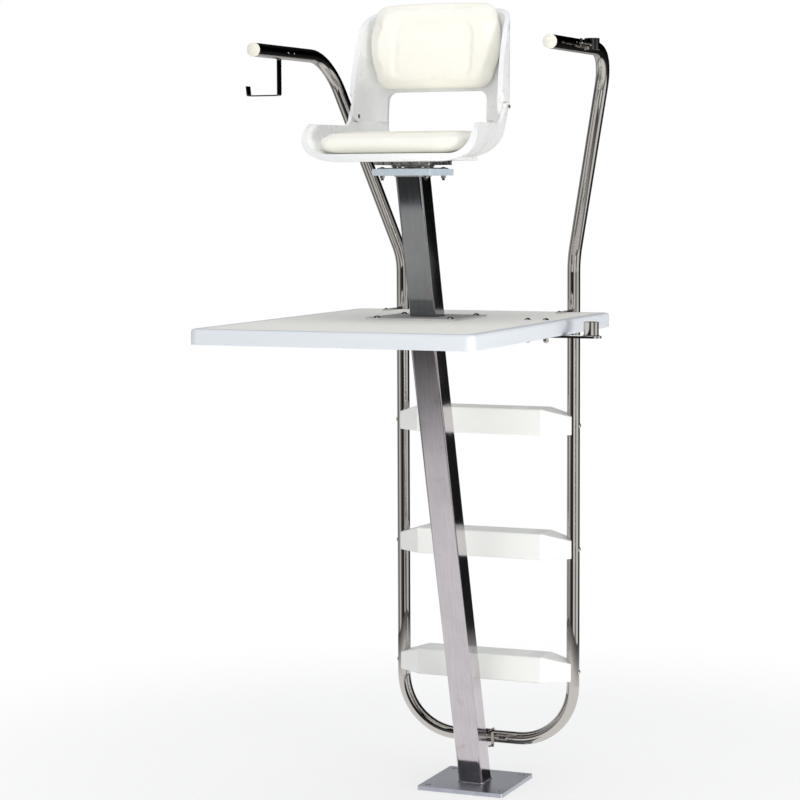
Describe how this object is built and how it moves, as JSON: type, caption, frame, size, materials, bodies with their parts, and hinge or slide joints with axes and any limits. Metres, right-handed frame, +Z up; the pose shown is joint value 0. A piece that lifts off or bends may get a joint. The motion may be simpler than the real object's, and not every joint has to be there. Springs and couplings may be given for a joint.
{
  "type": "lifeguard chair",
  "caption": "Lifeguard chair: a leaning post holds a platform and a swivelling, folding seat; the ladder's tubes run on as handrails, with a hook and an umbrella holder.",
  "frame": {"origin": "centre of the deck bolt pattern, on the underside of the base plate", "axes": "+Z up, -Y towards the pool (the way the sitter faces), +X to the right of a viewer who faces the sitter, ladder on the +Y side"},
  "size_m": [1.034, 1.1783, 2.2827],
  "materials": {
    "polished_steel": "polished stainless steel",
    "brushed_steel": "satin stainless steel",
    "fastener_steel": "bright stainless steel",
    "insert_brass": "turned",
    "platform_skin": "non-skid texture on top, satin edges",
    "platform_board": "plain board",
    "tread_plastic": "satin",
    "shell_plastic": "gloss",
    "cushion_cover": "smooth coated cover over foam",
    "cushion_board": "plain board"
  },
  "bodies": {
    "stand": {"base_plate": "brushed_steel", "column_foot_plate": "brushed_steel", "foot_bolts": "fastener_steel", "foot_nuts": "fastener_steel", "foot_washers": "fastener_steel", "ladder_standoff": "brushed_steel", "ladder_u_bolt_nuts": "brushed_steel", "ladder_u_bolts": "brushed_steel", "left_end_cap": "shell_plastic", "left_rail": "polished_steel", "left_rail_tab": "brushed_steel", "lower_post": "brushed_steel", "platform_core": "platform_board", "platform_deck": "platform_skin", "platform_underside": "platform_skin", "post_head_plate": "brushed_steel", "rail_rivets": "fastener_steel", "rail_splice": "brushed_steel", "rail_tab_screws": "fastener_steel", "rescue_hook": "brushed_steel", "right_end_cap": "shell_plastic", "right_rail": "polished_steel", "right_rail_tab": "brushed_steel", "seat_mount_plate": "brushed_steel", "swivel_ball_cage": "shell_plastic", "swivel_balls": "fastener_steel", "swivel_bolts": "fastener_steel", "swivel_lower_plate": "brushed_steel", "swivel_nuts": "fastener_steel", "swivel_pivot": "fastener_steel", "tread_bolts": "fastener_steel", "tread_inserts": "insert_brass", "tread_lower": "tread_plastic", "tread_middle": "tread_plastic", "tread_upper": "tread_plastic", "umbrella_bracket": "polished_steel", "umbrella_bracket_bolts": "polished_steel", "umbrella_bracket_nuts": "polished_steel", "umbrella_cup": "polished_steel", "umbrella_ring": "polished_steel", "upper_column": "brushed_steel"},
    "seat": {"swivel_upper_plate": "brushed_steel", "seat_screws": "fastener_steel", "seat_pan": "shell_plastic", "seat_cushion_board": "cushion_board", "seat_cushion": "cushion_cover", "hinge_pins": "fastener_steel"},
    "backrest": {"back_shell": "shell_plastic", "back_stop_screws": "fastener_steel", "back_cushion_board": "cushion_board", "back_cushion": "cushion_cover"},
    "umbrella_screw": {"umbrella_thumbscrew": "polished_steel"}
  },
  "joints": [
    {"name": "seat_swivel", "type": "hinge", "parent": "stand", "child": "seat", "pos_m": [0, -0.47, 1.83], "axis": [0, 0, 1], "continuous": true},
    {"name": "back_fold", "type": "hinge", "parent": "seat", "child": "backrest", "pos_m": [0, -0.352, 1.99], "axis": [1, 0, 0], "range_deg": [0, 92]},
    {"name": "umbrella_screw_travel", "type": "slide", "parent": "stand", "child": "umbrella_screw", "axis": [0, 1, 0], "range_m": [0, 0.02]}
  ]
}
